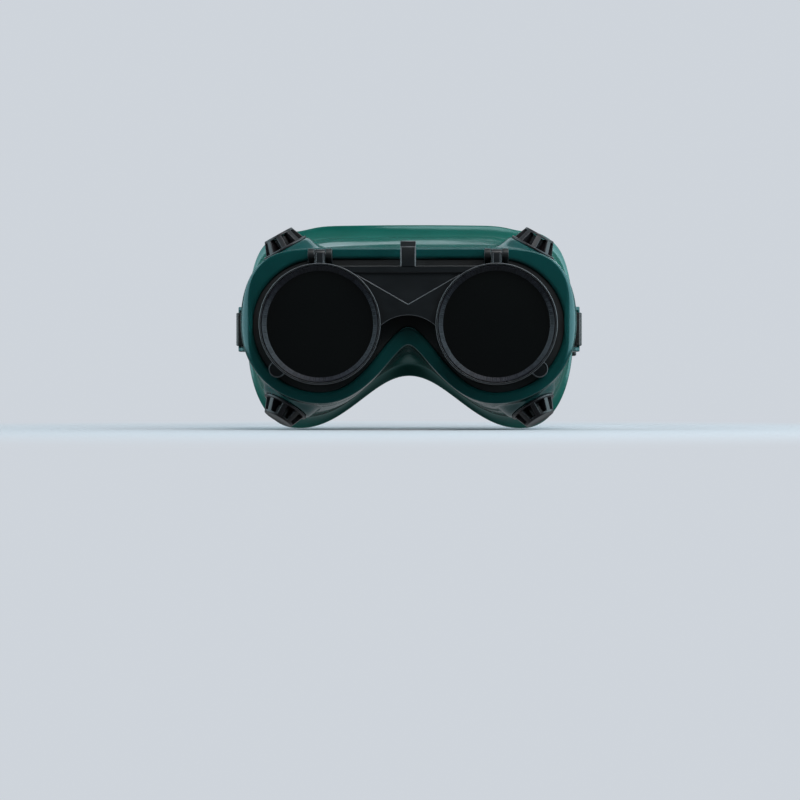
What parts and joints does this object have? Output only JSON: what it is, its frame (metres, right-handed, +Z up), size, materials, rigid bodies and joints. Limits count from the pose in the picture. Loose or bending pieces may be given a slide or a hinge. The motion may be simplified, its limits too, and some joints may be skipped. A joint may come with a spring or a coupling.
{
  "type": "welding goggles",
  "caption": "Welding goggles with a soft vented mask, a hinged lift-up front that holds round dark filter lenses over clear lenses, and an elastic head strap with a slider.",
  "frame": {"origin": "on the mirror plane, level with the lens centres, where the mask's edge meets the brow", "axes": "+Z up, +X to the right as seen from the front, +Y from the front of the goggles to the back of the wearer's head; left and right in names are the sides seen from the front"},
  "size_m": [0.1614, 0.2364, 0.095],
  "materials": {
    "soft_green": "soft gloss moulded vinyl",
    "black_plastic": "satin moulded",
    "ring_plastic": "satin moulded with fine radial lines",
    "vent_plastic": "satin moulded",
    "clear_glass": "polished",
    "dark_glass": "polished",
    "black_rubber": "matte",
    "steel": "drawn wire",
    "webbing": "woven elastic"
  },
  "bodies": {
    "mask": {"mask_shell": "soft_green", "lens_frame": "black_plastic", "clear_lens_left": "clear_glass", "clear_lens_right": "clear_glass", "clear_lens_ring_left": "black_plastic", "clear_lens_ring_right": "black_plastic", "vent_cap_top_left": "vent_plastic", "vent_cap_top_right": "vent_plastic", "vent_cap_bottom_left": "vent_plastic", "vent_cap_bottom_right": "vent_plastic", "vent_sleeve_top_left": "vent_plastic", "vent_sleeve_top_right": "vent_plastic", "vent_sleeve_bottom_left": "vent_plastic", "vent_sleeve_bottom_right": "vent_plastic", "hinge_pin_left": "steel", "hinge_pin_right": "steel", "head_strap": "webbing"},
    "lift_front": {"lift_frame": "black_plastic", "filter_gasket_left": "black_rubber", "filter_gasket_right": "black_rubber", "filter_lens_left": "dark_glass", "filter_lens_right": "dark_glass", "filter_ring_left": "ring_plastic", "filter_ring_right": "ring_plastic"},
    "slider": {"strap_slider": "black_plastic"}
  },
  "joints": [
    {"name": "front_lift", "type": "hinge", "parent": "mask", "child": "lift_front", "pos_m": [0, -0.0505, 0.0312], "axis": [-1, 0, 0], "range_deg": [0, 100]},
    {"name": "strap_adjust", "type": "slide", "parent": "mask", "child": "slider", "axis": [0, 1, 0], "range_m": [-0.02, 0.02]}
  ]
}
